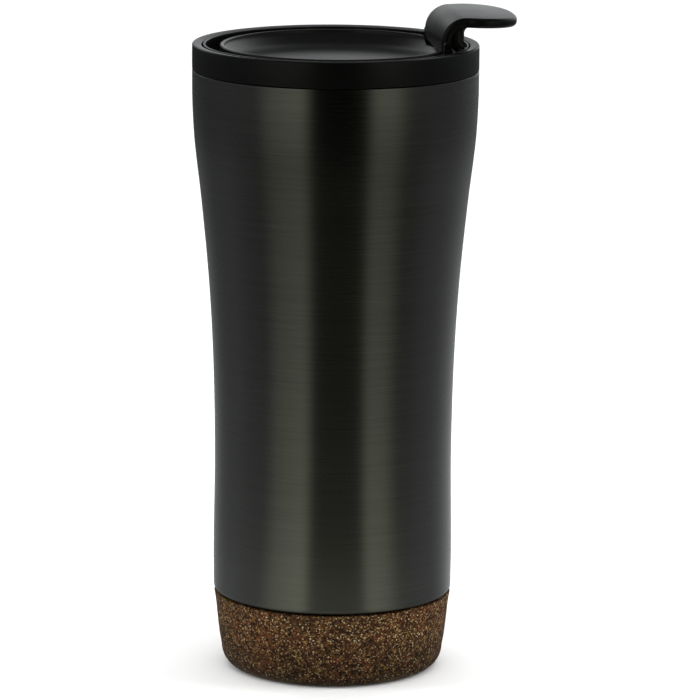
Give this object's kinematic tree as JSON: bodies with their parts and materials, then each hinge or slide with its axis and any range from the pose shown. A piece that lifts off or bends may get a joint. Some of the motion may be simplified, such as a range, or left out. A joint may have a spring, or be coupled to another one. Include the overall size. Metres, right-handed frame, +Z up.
{
  "type": "insulated travel tumbler",
  "caption": "Double-wall steel travel tumbler with a waisted body, a cork base, a black collar and a push-in lid whose hinged lever opens and closes the drinking slot.",
  "frame": {"origin": "centre of the flat foot under the cork base, on the axis of the cup", "axes": "+Z up along the axis of the cup; the lever on the lid points to +X, turned 7.5 degrees towards +Y"},
  "size_m": [0.0993, 0.088, 0.2048],
  "materials": {
    "dark_brushed_steel": "fine horizontal brushing, dark gunmetal tint",
    "bare_steel": "plain stainless steel",
    "black_plastic": "fine moulded texture",
    "cork": "dark agglomerated cork with golden grains",
    "black_silicone": "matt moulded silicone",
    "adhesive_pad": "die-cut adhesive foam"
  },
  "bodies": {
    "cup": {"outer_shell": "dark_brushed_steel", "shell_end_cap": "bare_steel", "inner_cup": "bare_steel", "collar": "black_plastic", "collar_seal": "black_silicone", "cork_base": "cork", "base_pad": "adhesive_pad"},
    "lid": {"lid_housing": "black_plastic", "lid_gasket": "black_silicone", "lid_dish": "black_plastic", "hinge_pin": "black_plastic"},
    "lever": {"flip_lever": "black_plastic", "stopper": "black_silicone"}
  },
  "joints": [
    {"name": "lid_lift", "type": "slide", "parent": "cup", "child": "lid", "axis": [0, 0, 1], "range_m": [0, 0.045]},
    {"name": "lever_hinge", "type": "hinge", "parent": "lid", "child": "lever", "pos_m": [0.03133, 0.00413, 0.1966], "axis": [0.1305, -0.9914, 0], "range_deg": [0, 90]}
  ]
}
